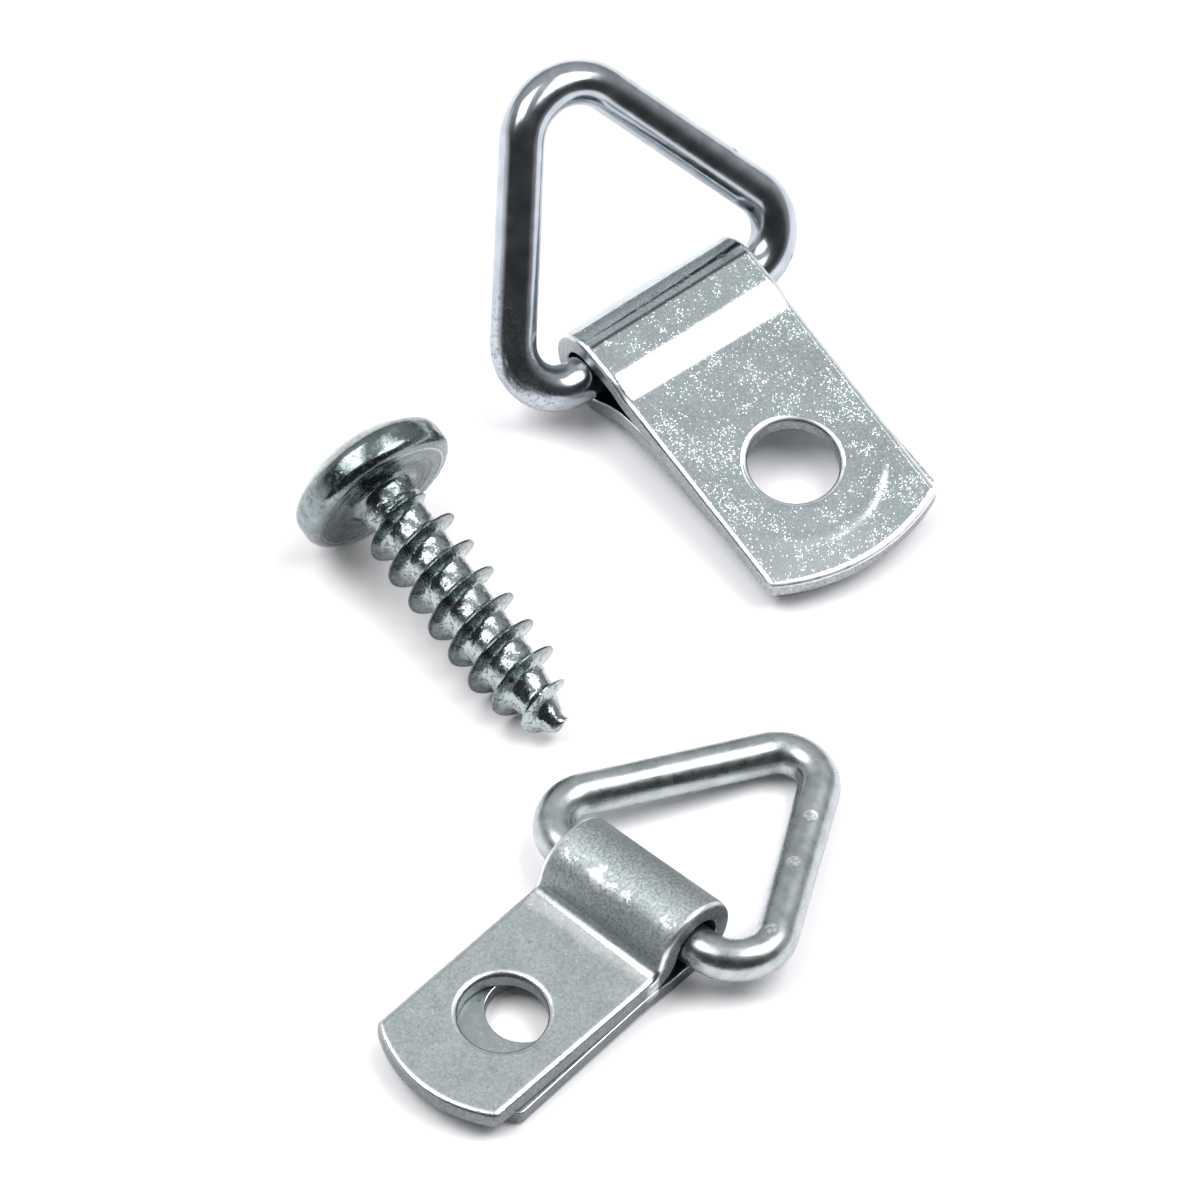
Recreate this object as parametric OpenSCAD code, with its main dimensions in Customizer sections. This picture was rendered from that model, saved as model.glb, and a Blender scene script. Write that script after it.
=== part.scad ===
// Two triangle-ring picture hangers and one wood screw, laid out as a set.
// Lengths are in mm and angles in degrees, with +Z up and the table top at z = 0.

/* [Sheet straps] */
// Thickness of the zinc-plated sheet that both straps are folded from
sheet_thickness = 0.8; // [0.5:0.05:1.1]
// Gap that is left between the two pressed legs of a strap
leg_gap = 0.06; // [0.03:0.01:0.2]
// Radius of the two corners at the free end of a strap
strap_corner_radius = 0.35; // [0.15:0.05:0.8]

/* [Large hanger] */
// Width of the large strap
large_strap_width = 8.2; // [6.5:0.1:8.4]
// Distance from the hinge axis to the end of the large flat leg
large_strap_reach = 13.6; // [12:0.1:18]
// Radius of the rounded free end of the large strap
large_end_radius = 8.5; // [6:0.1:14]
// How much shorter the large joggled leg is than the flat leg
large_leg_shortfall = 0.35; // [0:0.05:1.2]
// Distance from the hinge axis to the screw hole of the large strap
large_hole_distance = 8.4; // [7:0.1:10]
// Diameter of the screw hole in the large flat leg
large_flat_hole_diameter = 3.7; // [3:0.1:4.4]
// Diameter of the screw hole in the large joggled leg
large_joggled_hole_diameter = 4.1; // [3:0.1:4.8]
// Wire diameter of the large ring
large_wire_diameter = 1.9; // [1.4:0.05:2.4]
// Radial clearance of the large ring's wire in its loop
large_loop_clearance = 0.13; // [0.08:0.01:0.3]
// Base of the large triangle between its sharp corners, on the wire's centre line
large_ring_base = 15.3; // [15.1:0.1:19]
// Height of the large triangle over its base, on the wire's centre line
large_ring_height = 13.4; // [12:0.1:17]
// Bend radius of the two base corners of the large ring
large_base_bend = 1.9; // [1.5:0.1:2]
// Bend radius of the top corner of the large ring
large_top_bend = 2.45; // [1.6:0.05:3]
// Height of the small step between the large loop and its flat leg
large_flat_step = 0.28; // [0.1:0.02:0.5]
// Distance from the hinge axis to where the large joggled leg meets the flat leg
large_foot_distance = 3.9; // [3:0.1:5]
// Radius of the wide bend at the foot of the large hump
large_foot_radius = 3; // [0.5:0.1:4]
// How far the large joggled leg is turned from square to the fold
large_joggled_skew = 1.5; // [-2:0.1:2]
// How far the large flat leg is turned from square to the fold
large_flat_skew = -1.6; // [-2:0.1:2]

/* [Small hanger] */
// Width of the small strap
small_strap_width = 6.65; // [5.2:0.05:7]
// Distance from the hinge axis to the end of the small joggled leg
small_strap_reach = 12.25; // [11:0.05:16]
// Radius of the rounded free end of the small strap
small_end_radius = 5.85; // [4.6:0.05:10]
// How much shorter the small flat leg is than the joggled leg
small_leg_shortfall = 1.1; // [0:0.05:1.4]
// Distance from the hinge axis to the screw hole of the small joggled leg
small_hole_distance = 7.45; // [6.5:0.05:8.6]
// Diameter of the screw hole in the small joggled leg
small_joggled_hole_diameter = 3.65; // [3:0.05:4.2]
// Diameter of the screw hole in the small flat leg
small_flat_hole_diameter = 3.1; // [2.6:0.05:3.8]
// Wire diameter of the small ring
small_wire_diameter = 1.75; // [1.2:0.05:2.2]
// Radial clearance of the small ring's wire in its loop
small_loop_clearance = 0.24; // [0.16:0.01:0.4]
// Base of the small triangle between its sharp corners, on the wire's centre line
small_ring_base = 13.3; // [12.6:0.1:17]
// Height of the small triangle over its base, on the wire's centre line
small_ring_height = 11.8; // [10.5:0.1:15]
// Bend radius of the two base corners of the small ring
small_base_bend = 1.8; // [1.2:0.05:1.85]
// Bend radius of the top corner of the small ring
small_top_bend = 1.6; // [1.2:0.05:2.4]
// Height of the small step between the small loop and its flat leg
small_flat_step = 0.2; // [0.1:0.02:0.4]
// Distance from the hinge axis to where the small joggled leg meets the flat leg
small_foot_distance = 2.4; // [2:0.05:3.5]
// Radius of the tight bend at the foot of the small hump
small_foot_radius = 0.5; // [0.3:0.05:1.5]
// How far the small joggled leg is turned from square to the fold
small_joggled_skew = -3.8; // [-4:0.1:4]
// How far the small flat leg is turned from square to the fold
small_flat_skew = -2.2; // [-4:0.1:4]

/* [Screw] */
// Length of the screw under its head
screw_length = 12.3; // [9:0.1:20]
// Diameter over the thread crests
screw_thread_diameter = 3.6; // [3:0.05:3.9]
// Diameter of the core between the threads
screw_core_diameter = 2.25; // [1.8:0.05:2.6]
// Distance from one turn of the thread to the next
screw_pitch = 1.39; // [1.1:0.01:1.8]
// Diameter of the pan head
screw_head_diameter = 6.8; // [5.6:0.1:8]
// Height of the pan head
screw_head_height = 2.5; // [2.1:0.05:3.2]
// Length of the tapered point
screw_point_length = 3; // [2.4:0.1:4.5]
// Width of the cross recess
screw_recess_width = 3.7; // [2.8:0.1:4.2]
// Depth of the cross recess
screw_recess_depth = 1.6; // [1:0.05:1.8]

/* [Layout] */
// Place of the large hinge axis across the set
large_hanger_x = 1.97; // [-2:0.01:8]
// Place of the large hinge axis along the set
large_hanger_y = 15.39; // [11:0.01:23]
// Direction in which the large strap lies
large_hanger_turn = -52.6; // [-70:0.1:-35]
// Angle at which the large ring stands up from the table
large_ring_raise = 48.2; // [0:0.1:75]
// Place of the small hinge axis across the set
small_hanger_x = 0.66; // [-4:0.01:6]
// Place of the small hinge axis along the set
small_hanger_y = -12.5; // [-21:0.01:-9]
// Direction in which the small strap lies
small_hanger_turn = -130.3; // [-150:0.1:-120]
// Place of the screw head across the set
screw_x = -9.28; // [-14:0.01:-7]
// Place of the screw head along the set
screw_y = 6.12; // [0:0.01:9]
// Direction in which the screw points
screw_turn = -54.9; // [-70:0.1:-40]

/* [Hidden] */
round_steps = 64;
overrun = 0.5;

// The seam where the two ends of a bent ring meet inside the loop
ring_seam = 0.15;
// How far a straight run of wire laps over a bend, and how much thinner the bend is
wire_lap = 0.1;
bend_thinning = 0.02;
// Place and run of the small step on the flat side of a loop
flat_step_start = 1.2;
flat_step_run = 1.6;
// Straight length behind the bends, where a leg's plate begins
leg_tab = 0.4;
lap_angle = 12;
// Least straight run between a loop and the bend at its foot
least_ramp = 0.05;
// How far the band round each ring is skewed against its fold
large_band_skew = 0;
small_band_skew = -3.6;
// How far each ring has slid along its hinge axis, and how askew the small one lies in its loop
large_ring_shift = -0.16;
small_ring_shift = 0.16;
small_skew_share = 0.36;

// Details of the screw
head_edge_radius = 0.48;
head_shoulder_radius = 0.6;
head_crown_radius = 5.2;
neck_length = 0.9;
neck_diameter = 2.6;
neck_flare = 0.32;
point_bluntness = 0.42;
crest_width = 0.07;
thread_foot_width = 0.62;
point_radius = 0.06;
thread_steps = 24;
thread_shift = 0.2;
recess_arm = 0.85;
recess_taper_share = 0.62;

function band_outer(wire, clearance) = wire / 2 + clearance + sheet_thickness;
function joggled_top(outer, step) = step - outer + 2 * sheet_thickness + leg_gap;

large_outer = band_outer(large_wire_diameter, large_loop_clearance);
small_outer = band_outer(small_wire_diameter, small_loop_clearance);

// The large strap lies hump down, so it leans on the hump and on its joggled leg's end
large_rest_reach = large_strap_reach - large_leg_shortfall;
large_rest_top = joggled_top(large_outer, large_flat_step);
large_rest_span = sqrt(pow(large_rest_reach, 2) + pow(large_rest_top, 2));
large_pitch = asin(large_outer / large_rest_span) - atan(large_rest_top / large_rest_reach);

// The small strap lies flat side down, on the heel of its loop and on its flat leg's end
small_rest_reach = small_strap_reach - small_leg_shortfall;
small_pitch = atan(small_flat_step / (small_rest_reach - flat_step_start));
small_axis_z = small_outer * cos(small_pitch) + flat_step_start * sin(small_pitch);
small_skew = asin(2 * small_skew_share * small_loop_clearance / small_strap_width);

// The small ring's top corner rests on the table
small_base_angle = atan(2 * small_ring_height / small_ring_base);
small_top_reach = small_ring_height - small_top_bend / cos(small_base_angle) + small_top_bend;
small_ring_drop = asin((small_axis_z - small_wire_diameter / 2) / small_top_reach);

// A slice of a disc between two angles, wide enough to cover a band
module slice(radius, from, to)
    polygon(concat([[0, 0]], [for (i = [0 : 12]) let (a = from + (to - from) * i / 12)
        [radius * cos(a), radius * sin(a)]]));

// Part of a bent sheet, given by the radius of its middle
module bend(middle, from, to)
    intersection() {
        difference() {
            circle(middle + sheet_thickness / 2, $fn = round_steps);
            circle(middle - sheet_thickness / 2, $fn = round_steps);
        }
        slice(2 * (middle + sheet_thickness), from, to);
    }

// Points along a bend, from its centre
function arc_points(centre, radius, from, to, steps = 8) =
    [for (i = [0 : steps]) let (a = from + (to - from) * i / steps)
        centre + radius * [cos(a), sin(a)]];

// Centre of the bend at the foot of a hump, far enough out to leave a straight ramp
function foot_centre(outer, step, distance, radius) =
    let (foot = radius + sheet_thickness / 2, height = joggled_top(outer, step) + radius,
        reach = outer - sheet_thickness / 2 + foot)
    [max(distance, sqrt(pow(reach, 2) + pow(least_ramp, 2) - pow(height, 2))), height];

// Side view of the folded loop and of the bends that lead into the legs
module loop_profile(outer, step, foot_distance, foot_radius) {
    middle = outer - sheet_thickness / 2;
    foot = foot_radius + sheet_thickness / 2;
    heel = foot_centre(outer, step, foot_distance, foot_radius);
    lift = atan2(heel[1], heel[0]) + acos((middle + foot) / norm(heel));
    spoke = [cos(lift), sin(lift)];
    slope = 2 * atan(step / flat_step_run);
    sweep = flat_step_run / (2 * sin(slope));
    half = sheet_thickness / 2;
    first = [flat_step_start, sweep - middle];
    second = [flat_step_start + flat_step_run, step - middle - sweep];
    tab = [leg_tab, 0];
    bend(middle, lift, 270);
    polygon(concat([middle * [cos(lift + lap_angle), sin(lift + lap_angle)], (middle + half) * spoke],
        arc_points(heel, foot_radius, 180 + lift, 270),
        [heel - [0, foot_radius] + tab, heel - [0, foot + half] + tab],
        arc_points(heel, foot + half, 270, 180 + lift), [(middle - half) * spoke]));
    polygon(concat([middle * [-sin(lap_angle), -cos(lap_angle)], [0, -middle - half]],
        arc_points(first, sweep + half, 270, 270 + slope, 4),
        arc_points(second, sweep - half, 90 + slope, 90, 4),
        [second + [0, sweep - half] + tab, second + [0, sweep + half] + tab],
        arc_points(second, sweep + half, 90, 90 + slope, 4),
        arc_points(first, sweep - half, 270 + slope, 270, 4), [[0, half - middle]]));
}

// Plan of one leg, turned a little at its start, with its rounded end and two small corners
module leg_plan(start, reach, width, end_radius, hole_distance, hole_diameter, skew, band_skew) {
    centre = reach - end_radius;
    corner_y = width / 2 - strap_corner_radius;
    corner_angle = asin(corner_y / (end_radius - strap_corner_radius));
    corner_x = centre + (end_radius - strap_corner_radius) * cos(corner_angle);
    translate([start, start * tan(band_skew)]) rotate([0, 0, skew]) translate([-start, 0]) difference() {
        union() {
            translate([start, -width / 2]) square([corner_x - start, width]);
            translate([centre, 0]) intersection() {
                circle(end_radius, $fn = 2 * round_steps);
                slice(2 * end_radius, -corner_angle, corner_angle);
            }
            for (side = [-1, 1]) translate([corner_x, side * corner_y])
                circle(strap_corner_radius, $fn = round_steps);
        }
        translate([hole_distance, 0]) circle(hole_diameter / 2, $fn = round_steps);
    }
}

// One folded strap: hinge axis along Y, free end to +X, hump up
module strap(width, outer, step, end_radius, joggled_reach, flat_reach, joggled_hole_at, joggled_hole,
             flat_hole_at, flat_hole, foot_distance, foot_radius, band_skew, joggled_skew, flat_skew) {
    heel = foot_centre(outer, step, foot_distance, foot_radius);
    reach = heel[0] + 2 * outer;
    side = [reach, reach * tan(band_skew)];
    intersection() {
        rotate([90, 0, 0]) linear_extrude(2 * width, center = true)
            loop_profile(outer, step, foot_distance, foot_radius);
        linear_extrude(4 * outer, center = true) polygon([
            [0, -width / 2] - side, [0, -width / 2] + side, [0, width / 2] + side, [0, width / 2] - side]);
    }
    translate([0, 0, joggled_top(outer, step) - sheet_thickness]) linear_extrude(sheet_thickness)
        leg_plan(heel[0] + leg_tab / 2, joggled_reach, width, end_radius,
            joggled_hole_at, joggled_hole, joggled_skew, band_skew);
    translate([0, 0, step - outer]) linear_extrude(sheet_thickness)
        leg_plan(flat_step_start + flat_step_run + leg_tab / 2, flat_reach, width, end_radius,
            flat_hole_at, flat_hole, flat_skew, band_skew);
}

// One straight run of wire between two points of the ring's plane, lapped over its bends
module wire_run(start, end, radius, start_lap) {
    way = end - start;
    translate([start[0], start[1], 0]) rotate([0, 0, atan2(way[1], way[0])]) rotate([0, 90, 0])
        translate([0, 0, -start_lap]) cylinder(h = norm(way) + start_lap + wire_lap, r = radius, $fn = round_steps);
}

// One corner bend of wire, which the bending has left a hair thinner
module wire_bend(centre, bend_radius, from, to, radius)
    translate([centre[0], centre[1], 0]) rotate([0, 0, from])
        rotate_extrude(angle = to - from, $fn = 2 * round_steps)
            translate([bend_radius, 0]) circle(radius - bend_thinning, $fn = round_steps);

// One bent ring: base along Y on the hinge axis, top corner to -X
module ring(wire, base, height, base_bend, top_bend) {
    radius = wire / 2;
    base_angle = atan(2 * height / base);
    corner_y = base / 2 - base_bend / tan(base_angle / 2);
    top_centre = [top_bend / cos(base_angle) - height, 0];
    for (side = [-1, 1]) {
        outward = [-cos(base_angle), side * sin(base_angle)];
        corner = [-base_bend, side * corner_y];
        wire_run([0, side * ring_seam / 2], [0, side * corner_y], radius, 0);
        wire_bend(corner, base_bend, side > 0 ? 0 : base_angle - 180, side > 0 ? 180 - base_angle : 0, radius);
        wire_run(corner + base_bend * outward, top_centre + top_bend * outward, radius, wire_lap);
    }
    wire_bend(top_centre, top_bend, 180 - base_angle, 180 + base_angle, radius);
}

// Half section of the pan head: rounded bearing edge, rounded shoulder and domed crown
module head_profile() {
    radius = screw_head_diameter / 2;
    shoulder_x = radius - head_shoulder_radius;
    reach = head_crown_radius - head_shoulder_radius;
    shoulder_angle = acos(shoulder_x / reach);
    crown = [0, screw_head_height - head_crown_radius];
    shoulder = crown + reach * [cos(shoulder_angle), sin(shoulder_angle)];
    polygon(concat([[0, 0]],
        arc_points([radius - head_edge_radius, head_edge_radius], head_edge_radius, -90, 0),
        arc_points(shoulder, head_shoulder_radius, 0, shoulder_angle),
        arc_points(crown, head_crown_radius, shoulder_angle, 90, 14)));
}

// Radius of the core and of the crest at a height under the head
function point_share(z) = z < screw_length - screw_point_length ? 1
    : pow(max(0, (screw_length - z) / screw_point_length), point_bluntness);
function core_at(z) = max(point_radius, screw_core_diameter / 2 * point_share(z));
function crest_at(z) = let (rise = min(1, max(0, (z - neck_length / 2) / screw_pitch)))
    core_at(z) + (screw_thread_diameter - screw_core_diameter) / 2 * rise * point_share(z);

// The threaded shank as one swept surface, from inside the neck to the point
module threaded_shank() {
    start_z = thread_shift - screw_pitch / 2;
    steps = floor((screw_length - start_z - screw_pitch) / screw_pitch * thread_steps);
    offsets = [0, screw_pitch - thread_foot_width,
        screw_pitch - thread_foot_width / 2 - crest_width / 2,
        screw_pitch - thread_foot_width / 2 + crest_width / 2];
    count = len(offsets);
    function spot(k, j) = let (turn = 360 * k / thread_steps,
        z = start_z + screw_pitch * k / thread_steps + offsets[j],
        r = j < 2 ? core_at(z) : crest_at(z)) [r * cos(turn), r * sin(turn), z];
    points = concat([for (k = [0 : steps]) for (j = [0 : count - 1]) spot(k, j)],
        [[0, 0, start_z], [0, 0, screw_length]]);
    top = len(points) - 2;
    tip = len(points) - 1;
    function at(k, j) = j == count ? (k + thread_steps) * count : k * count + j;
    last = steps - thread_steps;
    skin = [for (k = [0 : last - 1]) for (j = [0 : count - 1]) each
        [[at(k, j), at(k, j + 1), at(k + 1, j)], [at(k + 1, j), at(k, j + 1), at(k + 1, j + 1)]]];
    edge = [for (k = [last : steps - 1]) for (j = [0 : count - 2]) each
        [[at(k, j), at(k, j + 1), at(k + 1, j)], [at(k + 1, j), at(k, j + 1), at(k + 1, j + 1)]]];
    head_cap = concat([for (k = [0 : thread_steps - 1]) [at(k, 0), at(k + 1, 0), top]],
        [for (j = [0 : count - 1]) [at(0, j + 1), at(0, j), top]]);
    tip_cap = concat([for (k = [last : steps - 1]) [at(k + 1, count - 1), at(k, count - 1), tip]],
        [for (j = [0 : count - 2]) [at(steps, j), at(steps, j + 1), tip]]);
    join = [[at(last, count - 1), at(steps, 0), tip]];
    polyhedron(points = points, faces = concat(skin, edge, head_cap, tip_cap, join));
}

// Cross recess in the crown, tapered by a cone
module cross_recess()
    translate([0, 0, -screw_head_height]) intersection() {
        union() for (turn = [0, 90]) rotate([0, 0, turn])
            translate([-screw_recess_width / 2, -recess_arm / 2, -overrun])
                cube([screw_recess_width, recess_arm, screw_recess_depth + overrun]);
        translate([0, 0, -overrun])
            cylinder(h = screw_recess_depth + overrun, r1 = screw_recess_width / 2 + overrun * recess_taper_share,
                r2 = screw_recess_width / 2 - screw_recess_depth * recess_taper_share, $fn = round_steps);
    }

// The screw: underside of the head at the origin, point to +Z
module wood_screw() {
    difference() {
        rotate_extrude($fn = 2 * round_steps) mirror([0, 1]) head_profile();
        cross_recess();
    }
    cylinder(h = neck_length, r = neck_diameter / 2, $fn = round_steps);
    cylinder(h = neck_flare, r1 = neck_diameter / 2 + neck_flare, r2 = neck_diameter / 2, $fn = round_steps);
    threaded_shank();
}

// The screw rests on its head's edge and on the thread near its point
first_crest = thread_shift - (screw_pitch + thread_foot_width - crest_width) / 2;
crest_rest_z = first_crest
    + screw_pitch * floor((screw_length - screw_point_length - first_crest) / screw_pitch);
crest_rest_r = crest_at(crest_rest_z);
edge_r = screw_head_diameter / 2 - head_edge_radius;
edge_span = sqrt(pow(crest_rest_z + head_edge_radius, 2) + pow(edge_r - crest_rest_r, 2));
screw_tilt = atan((edge_r - crest_rest_r) / (crest_rest_z + head_edge_radius)) + asin(head_edge_radius / edge_span);
screw_z = crest_rest_z * sin(screw_tilt) + crest_rest_r * cos(screw_tilt);

module place_large() translate([large_hanger_x, large_hanger_y, large_outer])
    rotate([0, 0, large_hanger_turn]) children();

module place_small() translate([small_hanger_x, small_hanger_y, small_axis_z])
    rotate([0, 0, small_hanger_turn]) children();

module large_strap()
    color([0.70, 0.73, 0.75]) place_large() rotate([0, large_pitch, 0]) mirror([0, 0, 1])
        strap(large_strap_width, large_outer, large_flat_step, large_end_radius,
            large_rest_reach, large_strap_reach,
            large_hole_distance, large_joggled_hole_diameter,
            large_hole_distance, large_flat_hole_diameter,
            large_foot_distance, large_foot_radius,
            large_band_skew, large_joggled_skew, large_flat_skew);

module large_ring()
    color([0.55, 0.58, 0.62]) place_large() rotate([0, large_ring_raise, 0])
        translate([0, large_ring_shift, 0])
            ring(large_wire_diameter, large_ring_base, large_ring_height, large_base_bend, large_top_bend);

module small_strap()
    color([0.66, 0.69, 0.70]) place_small() rotate([0, small_pitch, 0])
        strap(small_strap_width, small_outer, small_flat_step, small_end_radius,
            small_strap_reach, small_rest_reach,
            small_hole_distance, small_joggled_hole_diameter,
            small_hole_distance - small_leg_shortfall, small_flat_hole_diameter,
            small_foot_distance, small_foot_radius,
            small_band_skew, small_joggled_skew, small_flat_skew);

module small_ring()
    color([0.60, 0.63, 0.64]) place_small() rotate([0, -small_ring_drop, -small_skew])
        translate([0, small_ring_shift, 0])
            ring(small_wire_diameter, small_ring_base, small_ring_height, small_base_bend, small_top_bend);

module screw()
    color([0.62, 0.67, 0.66]) translate([screw_x, screw_y, screw_z])
        rotate([0, 90 + screw_tilt, screw_turn]) wood_screw();

large_strap();
large_ring();
small_strap();
small_ring();
screw();
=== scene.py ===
import bpy
import bmesh
import math
from mathutils import Matrix, Vector, noise


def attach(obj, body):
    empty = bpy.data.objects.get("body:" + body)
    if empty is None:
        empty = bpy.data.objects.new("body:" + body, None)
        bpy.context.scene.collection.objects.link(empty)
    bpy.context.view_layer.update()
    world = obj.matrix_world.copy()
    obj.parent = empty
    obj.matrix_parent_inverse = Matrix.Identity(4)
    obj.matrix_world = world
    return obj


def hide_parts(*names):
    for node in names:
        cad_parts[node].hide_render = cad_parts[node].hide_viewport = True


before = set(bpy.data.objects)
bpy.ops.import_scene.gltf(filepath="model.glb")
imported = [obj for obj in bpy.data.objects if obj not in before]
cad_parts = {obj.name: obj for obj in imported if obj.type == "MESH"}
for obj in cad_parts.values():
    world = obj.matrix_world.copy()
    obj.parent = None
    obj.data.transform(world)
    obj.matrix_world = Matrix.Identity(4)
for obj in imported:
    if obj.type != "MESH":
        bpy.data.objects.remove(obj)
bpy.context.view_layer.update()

# Large strap.
# One strip of zinc-plated sheet steel, folded round the base of a wire ring so that its two legs lie
# on each other, and punched for a screw. It lies hump down, so its flat leg faces up.
MM = 0.001
HALF_TURN = math.pi
QUARTER_TURN = math.pi / 2
sheet_thickness = 0.8
leg_gap = 0.06
strap_corner_radius = 0.35
flat_step_start = 1.2
flat_step_run = 1.6
leg_tab = 0.4
least_ramp = 0.05
leg_turn_run = 1.0
leg_turn_steps = 4
sharp_edge = (0.07, 0.07)
sharp_edge_angles = (-90, -60, -30, 0)
rolled_edge = (0.3, 0.2)
rolled_edge_angles = (0, 15, 30, 45, 60, 75, 90)
corner_steps = 6
end_steps = 30
hole_steps = 96
fold_step_angle = 4

large_strap_width = 8.2
large_flat_reach = 13.6
large_joggled_reach = 13.25
large_end_radius = 8.5
large_hole_distance = 8.4
large_flat_hole = 3.7
large_joggled_hole = 4.1
large_wire = 1.9
large_loop_clearance = 0.13
large_outer = large_wire / 2 + large_loop_clearance + sheet_thickness
large_flat_step = 0.28
large_foot_distance = 3.9
large_foot_radius = 3.0
large_skews = (0.0, 1.5, -1.6)
large_place = (1.97, 15.39, large_outer)
large_turn = -52.6

bright_zinc = (0.48, 0.55, 0.57, 1)
pale_bright_zinc = (0.58, 0.66, 0.68, 1)
dark_crystal = (0.36, 0.42, 0.45, 1)
frosted_zinc = (0.72, 0.79, 0.80, 1)
past_fold_painted_shade = (0.20, 0.22, 0.23, 1)
crease_painted_shade = (0.05, 0.06, 0.07, 1)
shiny_scuff = (0.95, 0.97, 1.0, 1)
end_painted_sheen = (0.80, 0.86, 0.87, 1)
large_cut_edge_painted_shade = (0.24, 0.24, 0.25, 1)
large_edge_rub_and_highlight = (0.95, 0.96, 0.97, 1)
crease_at = -0.14
crease_width = 0.13
scuff_width = 0.05
scuffs_along = ((3.0, 3.9, -3.27), (4.1, 5.1, -3.22), (5.9, 7.1, -3.27), (7.5, 9.2, -3.33))
pressed_centre = (large_hole_distance + 0.05, -0.25)
pressed_radius = 3.45
pressed_width = 0.45
pressed_depth = 0.014


def spoke(angle):
    return Vector((math.cos(angle), math.sin(angle)))


def sweep_pieces(outer, step, joggled_reach, flat_reach, foot_distance, foot_radius):
    """The folded strip's middle line, from the joggled leg's end round the loop to the flat leg's end."""
    middle = outer - sheet_thickness / 2
    foot = foot_radius + sheet_thickness / 2
    leg = step - outer + 1.5 * sheet_thickness + leg_gap
    reach = middle + foot
    foot_x = max(foot_distance, math.sqrt(reach ** 2 + least_ramp ** 2 - (leg + foot) ** 2))
    lift = math.atan2(leg + foot, foot_x) + math.acos(reach / math.hypot(foot_x, leg + foot))
    heel = Vector((foot_x, leg + foot))
    slope = 2 * math.atan(step / flat_step_run)
    sweep = flat_step_run / (2 * math.sin(slope))
    flat_start = flat_step_start + flat_step_run
    return [
        ("line", (joggled_reach, leg), (foot_x, leg)),
        ("bend", heel, foot, 1.5 * HALF_TURN, HALF_TURN + lift),
        ("line", heel - foot * spoke(lift), middle * spoke(lift)),
        ("bend", (0, 0), middle, lift, 1.5 * HALF_TURN),
        ("line", (0, -middle), (flat_step_start, -middle)),
        ("bend", (flat_step_start, sweep - middle), sweep, 1.5 * HALF_TURN, 1.5 * HALF_TURN + slope),
        ("bend", (flat_start, step - middle - sweep), sweep, QUARTER_TURN + slope, QUARTER_TURN),
        ("line", (flat_start, step - middle), (flat_reach, step - middle)),
    ]


def piece_length(piece):
    if piece[0] == "line":
        return (Vector(piece[2]) - Vector(piece[1])).length
    return piece[2] * abs(piece[4] - piece[3])


def along(pieces, distance):
    """Point and direction of the middle line at a distance from its start."""
    for piece in pieces:
        length = piece_length(piece)
        if distance <= length or piece is pieces[-1]:
            break
        distance -= length
    if piece[0] == "line":
        way = (Vector(piece[2]) - Vector(piece[1])).normalized()
        return Vector(piece[1]) + way * distance, way
    sign = 1 if piece[4] > piece[3] else -1
    outward = spoke(piece[3] + sign * distance / piece[2])
    return Vector(piece[1]) + outward * piece[2], sign * Vector((-outward.y, outward.x))


def end_outline(reach, width, end_radius):
    """One free end in plan, from its -Y side to its +Y side: points and outward directions."""
    corner_y = width / 2 - strap_corner_radius
    swing = math.asin(corner_y / (end_radius - strap_corner_radius))
    centre = reach - end_radius
    corner_x = centre + (end_radius - strap_corner_radius) * math.cos(swing)
    corner_turn = QUARTER_TURN - swing
    arcs = [((corner_x, -corner_y), strap_corner_radius, corner_turn * i / corner_steps - QUARTER_TURN)
            for i in range(corner_steps + 1)]
    arcs += [((centre, 0), end_radius, 2 * swing * i / end_steps - swing) for i in range(1, end_steps)]
    arcs += [((corner_x, corner_y), strap_corner_radius, corner_turn * i / corner_steps + swing)
             for i in range(corner_steps + 1)]
    return [(Vector(middle) + spoke(angle) * radius, spoke(angle)) for middle, radius, angle in arcs]


def edge_rows():
    """Section of a blanked edge, from the sharp side up to the rolled side: inset, height and facing."""
    rows = []
    for side, (inset, depth), angles in ((-1, sharp_edge, sharp_edge_angles),
                                         (1, rolled_edge, rolled_edge_angles)):
        for a in map(math.radians, angles):
            height = side * (sheet_thickness / 2 - depth) + depth * math.sin(a)
            rows.append((inset * (1 - math.cos(a)), height, math.cos(a) / inset, math.sin(a) / depth))
    return rows


def flat_blank(loops):
    """The strip before it is folded. Each vertex keeps the way that it faces, and cut_edge, which is
    1 on the middle of the cut edge and 0 on the faces of the sheet."""
    bm = bmesh.new()
    facing = bm.verts.layers.float_vector.new("facing")
    cut_edge = bm.verts.layers.float.new("cut_edge")
    rows = edge_rows()
    rims = {0: [], len(rows) - 1: []}
    for loop in loops:
        rings = []
        for inset, height, flat, up in rows:
            ring = []
            for p, n in loop:
                q = p - n * inset
                v = bm.verts.new((q.x, q.y, height))
                v[facing] = Vector((n.x * flat, n.y * flat, up)).normalized()
                v[cut_edge] = abs(flat) / math.hypot(flat, up)
                ring.append(v)
            rings.append(ring)
        count = len(loop)
        for low, high in zip(rings, rings[1:]):
            for i in range(count):
                j = (i + 1) % count
                bm.faces.new((low[i], low[j], high[j], high[i]))
        for k in rims:
            rims[k] += [bm.edges.get((rings[k][i], rings[k][(i + 1) % count])) for i in range(count)]
    for k, edges in rims.items():
        bmesh.ops.triangle_fill(bm, use_beauty=True, use_dissolve=False, edges=edges,
                                normal=(0, 0, 1 if k else -1))
    return bm


def skewed(x, y, start, band, leg):
    """Plan of the folded strap: the band runs on at one angle, and a leg turns to another where it starts."""
    if x < start:
        share = min(1.0, max(0.0, (x - start + leg_turn_run) / leg_turn_run))
        return x - y * math.sin(leg) * share, y + x * math.tan(band), band + (leg - band) * share
    x -= start
    return (start + x * math.cos(leg) - y * math.sin(leg),
            start * math.tan(band) + x * math.sin(leg) + y * math.cos(leg), leg)


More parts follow.
